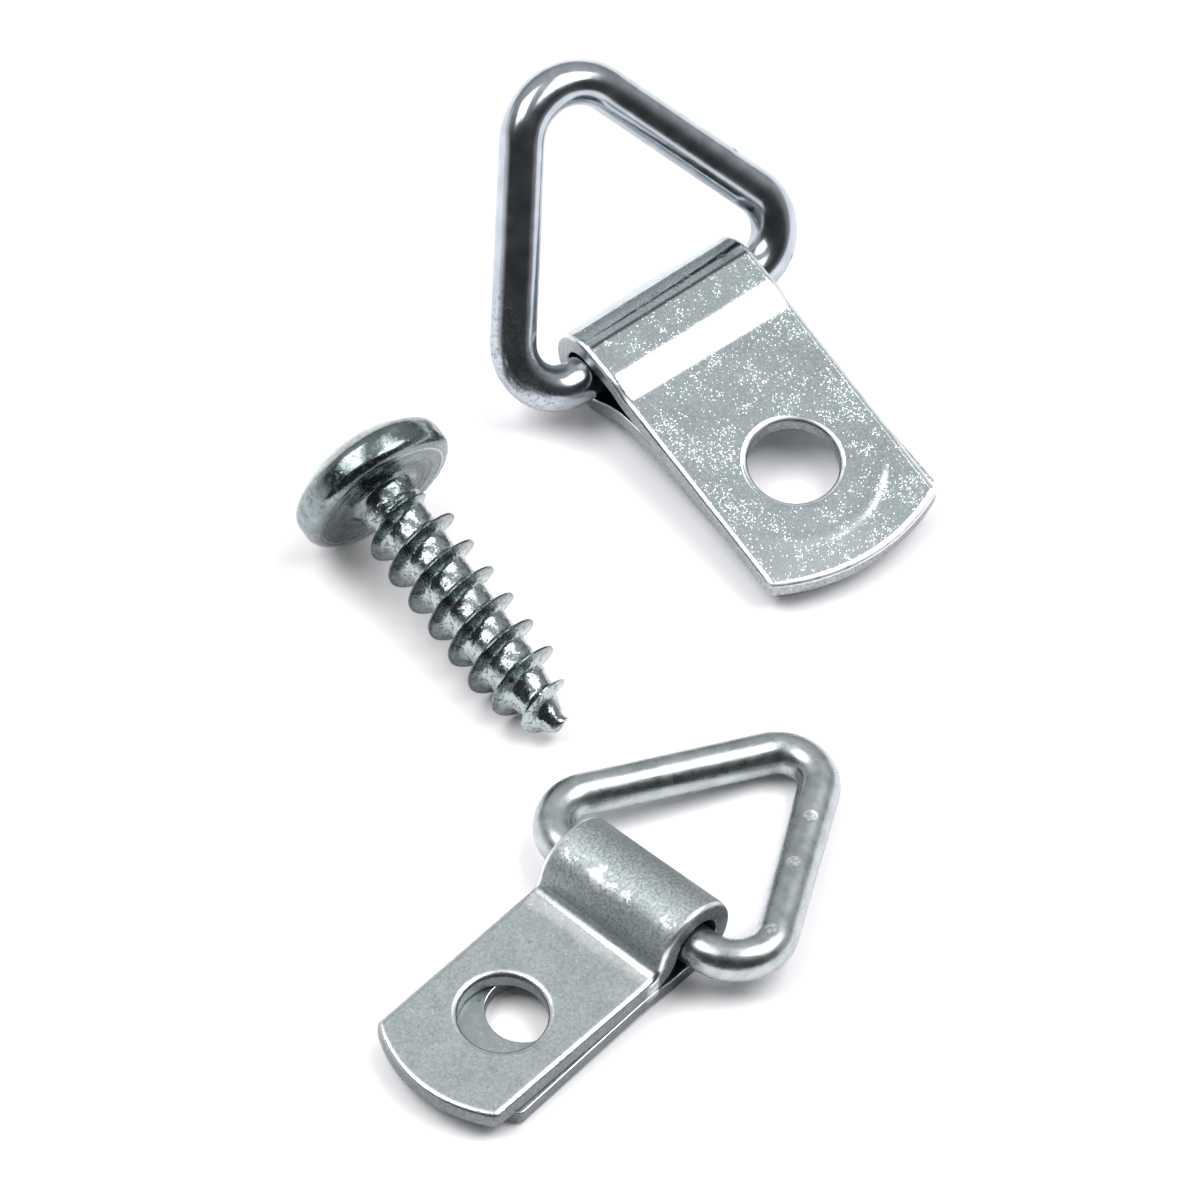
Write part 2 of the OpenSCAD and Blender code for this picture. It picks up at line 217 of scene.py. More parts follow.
def added(name, data):
    item = bpy.data.objects.new(name, data)
    bpy.context.scene.collection.objects.link(item)
    return item


def folded_strap(name, width, outer, step, end_radius, joggled_leg, flat_leg, foot, skews, hump, matrix):
    """A blank folded along its middle line. A leg is its reach, its hole's distance and its hole's width,
    skews are the angles of band, joggled leg and flat leg, and hump is 1 up or -1 down."""
    joggled_reach, joggled_hole_at, joggled_hole = joggled_leg
    flat_reach, flat_hole_at, flat_hole = flat_leg
    pieces = sweep_pieces(outer, step, joggled_reach, flat_reach, *foot)
    lengths = [piece_length(p) for p in pieces]
    total = sum(lengths)
    start = [(Vector((joggled_reach - p.x, p.y)), Vector((-n.x, n.y)))
             for p, n in end_outline(joggled_reach, width, end_radius)]
    finish = [(Vector((total - flat_reach + p.x, p.y)), n)
              for p, n in end_outline(flat_reach, width, end_radius)]
    loops = [finish + start[::-1]]
    round_angles = [2 * HALF_TURN * i / hole_steps for i in range(hole_steps)]
    for at, size in ((joggled_reach - joggled_hole_at, joggled_hole),
                     (total - flat_reach + flat_hole_at, flat_hole)):
        loops.append([(Vector((at, 0)) + spoke(a) * size / 2, -spoke(a)) for a in round_angles])
    bm = flat_blank(loops)

    leg_starts = (pieces[0][2][0] + leg_tab / 2, flat_step_start + flat_step_run + leg_tab / 2)
    turn_cuts = [leg_turn_run * i / leg_turn_steps for i in range(leg_turn_steps + 1)]
    cuts = [joggled_reach - leg_starts[0] + cut for cut in turn_cuts]
    cuts += [total - flat_reach + leg_starts[1] - cut for cut in turn_cuts]
    at = 0
    for piece, length in zip(pieces, lengths):
        if piece[0] == "bend":
            count = max(2, math.ceil(abs(piece[4] - piece[3]) / math.radians(fold_step_angle)))
            cuts += [at + length * i / count for i in range(count + 1)]
        at += length
    for cut in sorted(set(round(c, 3) for c in cuts)):
        bmesh.ops.bisect_plane(bm, geom=bm.verts[:] + bm.edges[:] + bm.faces[:], dist=1e-5,
                               plane_co=(cut, 0, 0), plane_no=(1, 0, 0))

    loop_back = sum(lengths[:3]) + lengths[3] * 0.4
    band, joggled, flat = map(math.radians, skews)
    turned = matrix.to_3x3()
    facing = bm.verts.layers.float_vector["facing"]
    normals = []
    for v in bm.verts:
        point, way = along(pieces, v.co.x)
        out = Vector((way.y, -way.x))
        n = v[facing]
        spot = point + out * v.co.z
        leg_start, leg = (leg_starts[0], joggled) if v.co.x < loop_back else (leg_starts[1], flat)
        x, y, angle = skewed(spot.x, v.co.y, leg_start, band, leg)
        nx, nz = way.x * n.x + out.x * n.z, way.y * n.x + out.y * n.z
        lean = Vector((nx * math.cos(angle) - n.y * math.sin(angle),
                       nx * math.sin(angle) + n.y * math.cos(angle), hump * nz))
        v.co = matrix @ (Vector((x, y, hump * spot.y)) * MM)
        normals.append((turned @ lean).normalized())
    bm.verts.index_update()
    bm.normal_update()
    flip = [f for f in bm.faces if f.normal.dot(sum((normals[v.index] for v in f.verts), Vector())) < 0]
    bmesh.ops.reverse_faces(bm, faces=flip)
    mesh = bpy.data.meshes.new(name)
    bm.to_mesh(mesh)
    bm.free()
    mesh.polygons.foreach_set("use_smooth", [True] * len(mesh.polygons))
    mesh.normals_split_custom_set_from_vertices(normals)
    return added(name, mesh)


def rested(joggled_reach, step, outer):
    """Pitch of a strap that lies hump down, on its hump and on its joggled leg's end."""
    top = step - outer + 2 * sheet_thickness + leg_gap
    span = math.hypot(joggled_reach, top)
    return math.asin(outer / span) - math.atan(top / joggled_reach)


def placed(place, turn, pitch):
    return (Matrix.Translation(Vector(place) * MM) @ Matrix.Rotation(math.radians(turn), 4, "Z")
            @ Matrix.Rotation(pitch, 4, "Y"))


class Shade:
    """A socket in a shader tree. Sums and products of shades add the Math nodes that work them out."""

    def __init__(self, tree, socket=None):
        self.tree, self.socket = tree, socket

    def make(self, kind, settings=None, inputs=None, out=0):
        node = self.tree.nodes.new(kind)
        for key, value in (settings or {}).items():
            setattr(node, key, value)
        for key, value in (inputs or {}).items():
            if isinstance(value, Shade):
                self.tree.links.new(value.socket, node.inputs[key])
            else:
                node.inputs[key].default_value = value
        return Shade(self.tree, node.outputs[out])

    def math(self, operation, *values):
        return self.make("ShaderNodeMath", {"operation": operation}, dict(enumerate(values)))

    def vector(self, operation, *values):
        return self.make("ShaderNodeVectorMath", {"operation": operation}, dict(enumerate(values)))

    def parts(self):
        """The X, Y and Z of a vector."""
        split = self.make("ShaderNodeSeparateXYZ", None, {0: self}).socket.node
        return [Shade(self.tree, output) for output in split.outputs]

    def __add__(self, other): return self.math("ADD", self, other)
    def __radd__(self, other): return self.math("ADD", other, self)
    def __sub__(self, other): return self.math("SUBTRACT", self, other)
    def __rsub__(self, other): return self.math("SUBTRACT", other, self)
    def __mul__(self, other): return self.math("MULTIPLY", self, other)
    def __rmul__(self, other): return self.math("MULTIPLY", other, self)
    def __truediv__(self, other): return self.math("DIVIDE", self, other)
    def __abs__(self): return self.math("ABSOLUTE", self)

    def ramp(self, low, high):
        """0 below low, 1 above high and smooth between; high may be the lower one."""
        return self.make("ShaderNodeMapRange", {"interpolation_type": "SMOOTHSTEP"},
                         {0: self, 1: low, 2: high, 3: 0.0, 4: 1.0})

    def near(self, centre, width):
        """1 at centre, falling to 0 at a distance of width."""
        return abs(self - centre).ramp(width, 0.0)

    def blend(self, colour, other):
        """colour where this shade is 0, other where it is 1."""
        return self.make("ShaderNodeMix", {"data_type": "RGBA"}, {0: self, 6: colour, 7: other}, 2)


def metal(name):
    """A new material: itself, a blank shade to start from, and the Principled shader."""
    material = bpy.data.materials.new(name)
    material.use_nodes = True
    shader = material.node_tree.nodes["Principled BSDF"]
    shader.inputs["Metallic"].default_value = 1.0
    return material, Shade(material.node_tree), shader


def feed(blank, shader, **values):
    for key, value in values.items():
        blank.tree.links.new(value.socket, shader.inputs[key.replace("_", " ")])


def in_mm(blank, matrix):
    """The piece's own coordinates in millimetres, before it was laid down, as a vector and as three numbers."""
    place = blank.make("ShaderNodeTexCoord", out="Object")
    own = blank.make("ShaderNodeMapping", {"vector_type": "TEXTURE"},
                     {"Vector": place, "Location": matrix.translation, "Rotation": matrix.to_euler()})
    scaled = blank.vector("MULTIPLY", own, (1 / MM, 1 / MM, 1 / MM))
    return scaled, scaled.parts()


def cloud(blank, place, scale, detail=3.0, rough=0.55):
    return blank.make("ShaderNodeTexNoise", {"noise_dimensions": "3D"},
                      {"Vector": place, "Scale": scale, "Detail": detail, "Roughness": rough})


def flecks(blank, place, scale, tilt, share):
    """The small crystals of the zinc: a normal that leans another way on a share of them, and a number
    from 0 to 1 for each of them."""
    cells = blank.make("ShaderNodeTexVoronoi", {"feature": "F1"}, {"Vector": place, "Scale": scale}, "Color")
    pick = blank.make("ShaderNodeTexWhiteNoise", {"noise_dimensions": "3D"}, {"Vector": cells})
    chosen = pick.ramp(1.0 - share, 1.02 - share)
    lean = blank.vector("SUBTRACT", cells, (0.5, 0.5, 0.5))
    strong = blank.make("ShaderNodeVectorMath", {"operation": "SCALE"}, {0: lean, 3: chosen * tilt})
    surface = blank.make("ShaderNodeNewGeometry", out="Normal")
    return blank.vector("NORMALIZE", blank.vector("ADD", surface, strong)), pick


def relief(blank, height, normal=None):
    """A normal for a height given in millimetres."""
    inputs = {"Strength": 1.0, "Distance": MM, "Height": height}
    if normal is not None:
        inputs["Normal"] = normal
    return blank.make("ShaderNodeBump", None, inputs)


def stroke(x, y, start, end, level, width):
    """1 on a line along X from start to end, 0 off it, and faint at both ends."""
    faint = 0.1
    return y.near(level, width) * x.ramp(start - faint, start + faint) * x.ramp(end + faint, end - faint)


large_pitch = rested(large_joggled_reach, large_flat_step, large_outer)
large_lay = placed(large_place, large_turn, large_pitch)
large_sheet = folded_strap("large_strap_sheet", large_strap_width, large_outer, large_flat_step,
                           large_end_radius, (large_joggled_reach, large_hole_distance, large_joggled_hole),
                           (large_flat_reach, large_hole_distance, large_flat_hole),
                           (large_foot_distance, large_foot_radius), large_skews, -1, large_lay)

bright_sheet, blank, shader = metal("bright_zinc_sheet")
place, (x, y, z) = in_mm(blank, large_lay)
mottle = cloud(blank, place, 0.5, 4.0)
patches = cloud(blank, place, 1.1, 5.0)
grain = cloud(blank, place, 9.0, 3.0, 0.7)
fleck_normal, pick = flecks(blank, place, 25.0, 0.24, 0.06 + 0.4 * patches.ramp(0.45, 0.66))
colour = mottle.ramp(0.3, 0.7).blend(bright_zinc, pale_bright_zinc)
colour = (pick * 0.5).blend(colour, dark_crystal)
colour = (grain.ramp(0.45, 0.62) * 0.45).blend(colour, frosted_zinc)

upper_face = z.ramp(1.0, 1.3)
# Painted shade: the upper face past the crease, round the loop, is darkened a little, more where the mottle is
# high.
shaded_past_fold = (crease_at - x).ramp(-0.05, 0.15) * upper_face
colour = (shaded_past_fold * (0.1 + 0.5 * mottle.ramp(0.5, 0.7))).blend(colour, past_fold_painted_shade)
# Painted shade: a dark line along the crease where the flat leg turns into the loop.
crease_shade_mask = x.near(crease_at, crease_width) * upper_face
colour = (crease_shade_mask * 0.9).blend(colour, crease_painted_shade)
scuffs = 0.0
for scuff_start, scuff_end, scuff_y in scuffs_along:
    scuffs = scuffs + stroke(x, y, scuff_start, scuff_end, scuff_y, scuff_width)
colour = (scuffs * grain.ramp(0.35, 0.55) * upper_face * 0.7).blend(colour, shiny_scuff)
# Painted sheen: the flat leg is paler toward its free end, on its -Y side.
colour = (x.ramp(9.4, 12.4) * y.ramp(2.5, -1.5) * 0.5).blend(colour, end_painted_sheen)

cut = blank.make("ShaderNodeAttribute", {"attribute_name": "cut_edge"}, out="Fac")
edge = cut.ramp(0.75, 0.97)
# Painted shade: the faces of the cut edge are darkened toward grey, patchy with the grain, for the shadow on
# the table that they face.
colour = (edge * (0.4 + 0.6 * grain.ramp(0.4, 0.6))).blend(colour, large_cut_edge_painted_shade)
# Painted highlight on rubbed edges: the rounded edges between the faces and the cut edge get a pale colour,
# patchy and wider at the free end; the same mask raises the roughness.
at_end = x.ramp(11.6, 12.6)
rub_and_highlight = cut.ramp(0.2, 0.4) * cut.ramp(0.75 + 0.2 * at_end, 0.6 + 0.28 * at_end)
rub_and_highlight = rub_and_highlight * (0.5 + patches.ramp(0.3, 0.5) * 0.5)
colour = (rub_and_highlight * (0.6 + 0.4 * at_end)).blend(colour, large_edge_rub_and_highlight)

from_hole_x, from_hole_y = x - pressed_centre[0], y - pressed_centre[1]
from_hole = x.math("SQRT", from_hole_x * from_hole_x + from_hole_y * from_hole_y)
pressed = from_hole.near(pressed_radius, pressed_width) * from_hole_x.ramp(1.6, 2.6) * pressed_depth
height = pressed + 0.012 * cloud(blank, place, 0.35, 2.0) + 0.0005 * grain
feed(blank, shader, Base_Color=colour, Roughness=0.08 + 0.05 * patches + 0.25 * edge + 0.3 * rub_and_highlight,
     Normal=relief(blank, height, fleck_normal))
large_sheet.data.materials.append(bright_sheet)
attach(large_sheet, "large_hanger")
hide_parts("large_strap")

# Large ring.
# Bright zinc-plated steel wire, bent into a triangle with its butt joint inside the strap's loop.
# It stands raised from the table, held by the friction of the loop.
large_ring_base = 15.3
large_ring_height = 13.4
large_base_bend = 1.9
large_top_bend = 2.45
large_ring_raise = 48.2
large_ring_shift = -0.16
ring_seam = 0.15
wire_sides = 48
wire_bend_step = 0.12
wire_straight_step = 0.3
wire_waviness = 0.02

bright_wire_zinc = (0.38, 0.42, 0.46, 1)
pale_bright_wire_zinc = (0.47, 0.51, 0.555, 1)
worn_plating = (0.16, 0.16, 0.17, 1)
dark_nick = (0.05, 0.05, 0.05, 1)
nick_places = ((-4.91, 5.91, 0.187), (0.19, 6.05, 0.187))


def bent_ring(name, wire, base, height, base_bend, top_bend, seed, matrix):
    """Wire bent into a triangle: its base along Y on the hinge axis and its top corner to -X."""
    radius = wire / 2
    lean = math.atan(2 * height / base)
    corner_y = base / 2 - base_bend / math.tan(lean / 2)
    top = Vector((top_bend / math.cos(lean) - height, 0))
    right_out, left_out = [Vector((-math.cos(lean), side * math.sin(lean))) for side in (1, -1)]
    right = Vector((-base_bend, corner_y))
    left = Vector((-base_bend, -corner_y))
    pieces = [
        ("line", (0, ring_seam / 2), (0, corner_y)),
        ("bend", right, base_bend, 0, HALF_TURN - lean),
        ("line", right + right_out * base_bend, top + right_out * top_bend),
        ("bend", top, top_bend, HALF_TURN - lean, HALF_TURN + lean),
        ("line", top + left_out * top_bend, left + left_out * base_bend),
        ("bend", left, base_bend, HALF_TURN + lean, 2 * HALF_TURN),
        ("line", (0, -corner_y), (0, -ring_seam / 2)),
    ]
    stations, at = [], 0
    for piece in pieces:
        length = piece_length(piece)
        count = math.ceil(length / (wire_bend_step if piece[0] == "bend" else wire_straight_step))
        stations += [at + length * i / count for i in range(count)]
        at += length
    stations.append(at)
    points, faces, uvs = [], [], []
    for distance in stations:
        point, way = along(pieces, distance)
        side = Vector((way.y, -way.x))
        for k in range(wire_sides):
            a = 2 * HALF_TURN * k / wire_sides
            outward = Vector((side.x * math.cos(a), side.y * math.cos(a), math.sin(a)))
            spot = Vector((point.x, point.y, 0)) + outward * radius
            swell = (0.6 * noise.noise(spot * 0.55 + Vector((seed, 0, 0)))
                     + 0.25 * noise.noise(spot * 1.7 + Vector((0, seed, 0))))
            spot -= outward * radius * wire_waviness * (0.5 + 0.5 * swell)
            points.append(matrix @ (spot * MM))
    for i in range(len(stations) - 1):
        row, far_row = i * wire_sides, (i + 1) * wire_sides
        for k in range(wire_sides):
            j = (k + 1) % wire_sides
            faces.append((row + k, row + j, far_row + j, far_row + k))
            uvs += [(stations[i], k), (stations[i], k + 1), (stations[i + 1], k + 1), (stations[i + 1], k)]
    for end in (0, len(stations) - 1):
        rim = [end * wire_sides + k for k in range(wire_sides)]
        faces.append(rim if end else rim[::-1])
        uvs += [(stations[end], 0)] * wire_sides
    mesh = bpy.data.meshes.new(name)
    mesh.from_pydata(points, [], faces)
    layer = mesh.uv_layers.new(name="wire")
    for loop, (distance, k) in zip(layer.data, uvs):
        loop.uv = (distance, k * HALF_TURN * wire / wire_sides)
    mesh.polygons.foreach_set("use_smooth", [len(p.vertices) == 4 for p in mesh.polygons])
    bm = bmesh.new()
    bm.from_mesh(mesh)
    bmesh.ops.recalc_face_normals(bm, faces=bm.faces)
    bm.to_mesh(mesh)
    bm.free()
    return added(name, mesh)


def drawn_lines(blank, stretch, scale):
    """Fine lines along the wire, left by the drawing die."""
    unrolled = blank.make("ShaderNodeUVMap", {"uv_map": "wire"})
    return cloud(blank, blank.vector("MULTIPLY", unrolled, (stretch, 1.0, 1.0)), scale, 3.0, 0.6)


def marks(x, y, places, core):
    """1 at some places and 0 from each one's size on. core is the share of the size that is all 1."""
    total = 0.0
    for place_x, place_y, size in places:
        off_x, off_y = x - place_x, y - place_y
        total = total + (off_x * off_x + off_y * off_y).ramp(size * size, (core * size) ** 2)
    return total


ring_lay = (placed(large_place, large_turn, math.radians(large_ring_raise))
            @ Matrix.Translation((0, large_ring_shift * MM, 0)))
large_wire_ring = bent_ring("large_ring_wire", large_wire, large_ring_base, large_ring_height,
                            large_base_bend, large_top_bend, 3.0, ring_lay)
bright_wire, blank, shader = metal("bright_zinc_wire")
place, (x, y, z) = in_mm(blank, ring_lay)
lines = drawn_lines(blank, 0.12, 5.0)
mottle = cloud(blank, place, 1.3, 4.0)
grain = cloud(blank, place, 7.0, 3.0, 0.7)
colour = mottle.ramp(0.35, 0.7).blend(bright_wire_zinc, pale_bright_wire_zinc)
worn = y.ramp(-4.6, -6.4) * grain.ramp(0.5, 0.62)
colour = (worn * 0.6).blend(colour, worn_plating)
colour = marks(x, y, nick_places, 0.38).blend(colour, dark_nick)
feed(blank, shader, Base_Color=colour, Roughness=0.11 + 0.14 * mottle + 0.12 * worn,
     Normal=relief(blank, 0.003 * lines + 0.0018 * grain))
large_wire_ring.data.materials.append(bright_wire)
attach(large_wire_ring, "large_ring")
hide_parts("large_ring")

# Small strap.
# The same folded strip in a smaller size and a duller plating, lying flat side down with its hump up.
# Its flat leg is shorter, and the hole in it is smaller and closer to the ring.
small_strap_width = 6.65
small_joggled_reach = 12.25
small_flat_reach = 11.15
small_end_radius = 5.85
small_hole_distance = 7.45
small_flat_hole_distance = small_hole_distance - small_joggled_reach + small_flat_reach
small_joggled_hole = 3.65
small_flat_hole = 3.1
small_wire = 1.75
small_loop_clearance = 0.24
small_outer = small_wire / 2 + small_loop_clearance + sheet_thickness
small_flat_step = 0.2
small_foot_distance = 2.4
small_foot_radius = 0.5
small_skews = (-3.6, -3.8, -2.2)
small_turn = -130.3
small_pitch = math.atan(small_flat_step / (small_flat_reach - flat_step_start))
small_axis_z = small_outer * math.cos(small_pitch) + flat_step_start * math.sin(small_pitch)
small_place = (0.66, -12.5, small_axis_z)

dull_zinc = (0.31, 0.35, 0.355, 1)
pale_dull_zinc = (0.38, 0.425, 0.43, 1)
dull_dark_crystal = (0.26, 0.30, 0.31, 1)
hump_painted_shade = (0.24, 0.27, 0.28, 1)
hump_dark_speck = (0.13, 0.15, 0.155, 1)
hump_pale_speck = (0.50, 0.54, 0.55, 1)
small_cut_edge_painted_shade = (0.10, 0.11, 0.12, 1)
small_rub_and_highlight = (0.86, 0.89, 0.90, 1)
hump_rub_highlight_x = 0.95
hump_rub_highlights = ((0, -2.54, 0.3), (0, -1.05, 0.65), (0, -0.5, 0.45), (0, 0.4, 0.4), (0, 2.4, 0.45))

small_lay = placed(small_place, small_turn, small_pitch)
small_sheet = folded_strap("small_strap_sheet", small_strap_width, small_outer, small_flat_step,
                           small_end_radius, (small_joggled_reach, small_hole_distance, small_joggled_hole),
                           (small_flat_reach, small_flat_hole_distance, small_flat_hole),
                           (small_foot_distance, small_foot_radius), small_skews, 1, small_lay)
dull_sheet, blank, shader = metal("dull_zinc_sheet")
place, (x, y, z) = in_mm(blank, small_lay)
mottle = cloud(blank, place, 0.6, 5.0)
patches = cloud(blank, place, 2.2, 5.0)
grain = cloud(blank, place, 9.0, 3.0, 0.7)
fleck_normal, pick = flecks(blank, place, 16.0, 0.2, 0.1 + 0.25 * patches.ramp(0.4, 0.7))
colour = mottle.ramp(0.3, 0.7).blend(dull_zinc, pale_dull_zinc)
colour = (pick * 0.3).blend(colour, dull_dark_crystal)

hump = z.ramp(-0.6, 0.4)
# Painted shade: the hump is given a darker colour than the flat leg.
colour = (hump * 0.3).blend(colour, hump_painted_shade)
colour = (hump * grain.ramp(0.51, 0.6) * 0.5).blend(colour, hump_dark_speck)
colour = (hump * grain.ramp(0.47, 0.38) * 0.45).blend(colour, hump_pale_speck)

cut = blank.make("ShaderNodeAttribute", {"attribute_name": "cut_edge"}, out="Fac")
edge = cut.ramp(0.75, 0.97)
# Painted shade: the faces of the cut edge are darkened, patchy with the grain.
colour = (edge * (0.5 + 0.4 * grain.ramp(0.35, 0.65))).blend(colour, small_cut_edge_painted_shade)

# Painted highlight on rubbed places: ragged spots on the hump, the rounded rims and a band along the foot bend
# get a pale colour and a smoother finish.
ragged_x = (x - hump_rub_highlight_x) * 1.3 + 2.2 * (patches - 0.5)
ragged_y = y + 1.8 * (grain - 0.5)
hump_rub_and_highlight = marks(ragged_x, ragged_y, hump_rub_highlights, 0.0) * patches.ramp(0.36, 0.55) * hump * 0.85
rim_rub_and_highlight = cut.ramp(0.15, 0.35) * cut.ramp(0.8, 0.6) * 0.8
foot_rub_and_highlight = (x.ramp(2.1, 2.35) * x.ramp(3.05, 2.45) * z.ramp(-1.3, -1.0)
               * (0.6 + 0.4 * patches.ramp(0.4, 0.55)))
rub_and_highlight = x.math("MAXIMUM", hump_rub_and_highlight, x.math("MAXIMUM", rim_rub_and_highlight, foot_rub_and_highlight))
colour = rub_and_highlight.blend(colour, small_rub_and_highlight)
height = 0.02 * cloud(blank, place, 0.5, 2.0) + (0.0016 + 0.002 * hump) * grain
feed(blank, shader, Base_Color=colour, Roughness=0.24 + 0.14 * patches + 0.2 * hump - 0.22 * rub_and_highlight,
     Normal=relief(blank, height, fleck_normal))
small_sheet.data.materials.append(dull_sheet)
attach(small_sheet, "small_hanger")
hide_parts("small_strap")

# Small ring.
# Dull zinc-plated wire, bent to a smaller triangle. It lies on the table by its top corner,
# a little askew in its loose loop, and bears the marks of the bending tool.
small_ring_base = 13.3
small_ring_height = 11.8
small_base_bend = 1.8
small_top_bend = 1.6
small_skew = -math.asin(2 * 0.36 * small_loop_clearance / small_strap_width)
small_ring_shift = 0.16
small_lean = math.atan(2 * small_ring_height / small_ring_base)
small_top_reach = small_ring_height - small_top_bend / math.cos(small_lean) + small_top_bend
small_ring_drop = math.asin((small_axis_z - small_wire / 2) / small_top_reach)

dull_wire_zinc = (0.35, 0.385, 0.395, 1)
pale_dull_wire_zinc = (0.46, 0.50, 0.51, 1)
grip_bright = (0.80, 0.81, 0.82, 1)
grip_places = ((-7.61, 2.42, 0.346), (-5.36, 3.52, 0.346), (-2.13, 5.17, 0.346))

small_ring_lay = (placed(small_place, small_turn, -small_ring_drop) @ Matrix.Rotation(small_skew, 4, "Z")
                  @ Matrix.Translation((0, small_ring_shift * MM, 0)))
small_wire_ring = bent_ring("small_ring_wire", small_wire, small_ring_base, small_ring_height,
                            small_base_bend, small_top_bend, 8.0, small_ring_lay)
dull_wire, blank, shader = metal("dull_zinc_wire")
place, (x, y, z) = in_mm(blank, small_ring_lay)
lines = drawn_lines(blank, 0.15, 6.0)
mottle = cloud(blank, place, 1.6, 5.0)
grain = cloud(blank, place, 7.0, 3.0, 0.7)
colour = mottle.ramp(0.3, 0.7).blend(dull_wire_zinc, pale_dull_wire_zinc)
grips = marks(x, y, grip_places, 0.5) * z.ramp(0.1, 0.5)
colour = (grips * grain.ramp(0.4, 0.6)).blend(colour, grip_bright)
feed(blank, shader, Base_Color=colour, Roughness=0.2 + 0.16 * mottle,
     Normal=relief(blank, 0.006 * lines + 0.0025 * grain - 0.02 * grips))
small_wire_ring.data.materials.append(dull_wire)
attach(small_wire_ring, "small_ring")
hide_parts("small_ring")

# Screw.
# A zinc-plated pan-head tapping screw: cold-headed with a cross recess, its single coarse thread
# rolled onto the blank. It rests on the edge of its head and on its thread.
screw_length = 12.3
screw_thread = 3.6
screw_core = 2.25
screw_pitch = 1.39
screw_head = 6.8
screw_head_height = 2.5
screw_point_length = 3.0
head_edge_radius = 0.48
head_shoulder_radius = 0.6
head_crown_radius = 5.2
head_sides = 128
neck_radius = 1.3
neck_sides = 96
point_bluntness = 0.42
point_core = 0.06
thread_shift = 0.2
thread_foot = 0.62
thread_fade_start = 0.45
thread_steps = 72
thread_flank = ((-0.5, 0.0), (-0.36, 0.1), (-0.22, 0.36), (-0.1, 0.78))
crest_width = 0.07
root_dip = -0.02
smooth_angle = 38
screw_place = (-9.28, 6.12)
screw_turn = -54.9

recess_width = 3.7
recess_depth = 1.6
recess_arm = 0.84
recess_overrun = (0.3, 0.5)
recess_floor_inset = 0.98
recess_floor_share = 0.8
crossed_arm_growth = 0.004
crossed_arm_sink = 0.003

# Radius and height of the bearing face's fine rings and of the curve where the neck leaves it.
bearing_face = [(0.001, 0.0), (neck_radius + 0.25, 0.0), (1.9, -0.03), (2.2, -0.03), (2.3, 0.0),
                (2.62, 0.0), (2.7, -0.025), (2.8, -0.01)]
neck_curve = [(neck_radius + 0.34, -0.02), (neck_radius + 0.2, 0.03), (neck_radius + 0.08, 0.12),
              (neck_radius + 0.01, 0.3), (neck_radius, 0.75), (screw_core / 2 - 0.03, 0.95)]

screw_zinc = (0.17, 0.205, 0.21, 1)
pale_screw_zinc = (0.27, 0.315, 0.32, 1)
valley_painted_highlight = (0.42, 0.475, 0.475, 1)
dark_pit = (0.09, 0.11, 0.115, 1)
crest_painted_shade = (0.08, 0.09, 0.09, 1)
face_rings_and_painted_shade = (0.14, 0.165, 0.17, 1)
lip_painted_highlight = (0.62, 0.67, 0.68, 1)
lip_radius = 2.88


def point_taper(z):
    """Share of the full radius that is left at a height, below 1 on the point alone."""
    if z < screw_length - screw_point_length:
        return 1.0
    return max(0.0, (screw_length - z) / screw_point_length) ** point_bluntness


def circle(radius, z, sides):
    return [(radius * math.cos(2 * HALF_TURN * k / sides) * MM,
             radius * math.sin(2 * HALF_TURN * k / sides) * MM, z * MM) for k in range(sides)]


def revolved(name, outline, sides):
    points = [point for radius, z in outline for point in circle(radius, z, sides)]
    faces = []
    for i in range(len(outline) - 1):
        for k in range(sides):
            j = (k + 1) % sides
            faces.append((i * sides + k, i * sides + j, (i + 1) * sides + j, (i + 1) * sides + k))
    mesh = bpy.data.meshes.new(name)
    mesh.from_pydata(points, [], faces)
    bm = bmesh.new()
    bm.from_mesh(mesh)
    bmesh.ops.remove_doubles(bm, verts=bm.verts, dist=2e-6)
    bmesh.ops.holes_fill(bm, edges=bm.edges)
    bmesh.ops.recalc_face_normals(bm, faces=bm.faces)
    bm.to_mesh(mesh)
    bm.free()
    return added(name, mesh)


def arc(centre, radius, start, end, count):
    return [(centre[0] + radius * math.cos(start + (end - start) * i / count),
             centre[1] + radius * math.sin(start + (end - start) * i / count)) for i in range(count + 1)]


def head_outline():
    """Half section of the head, from the axis at the bearing face round to the crown's middle."""
    radius = screw_head / 2
    crown = (0, head_crown_radius - screw_head_height)
    reach = head_crown_radius - head_shoulder_radius
    swing = math.acos((radius - head_shoulder_radius) / reach)
    shoulder = (radius - head_shoulder_radius, crown[1] - reach * math.sin(swing))
    edge = arc((radius - head_edge_radius, -head_edge_radius), head_edge_radius, QUARTER_TURN, 0, 10)
    return (bearing_face + edge + arc(shoulder, head_shoulder_radius, 0, -swing, 8)
            + arc(crown, head_crown_radius, -swing, 0.001 - QUARTER_TURN, 16))


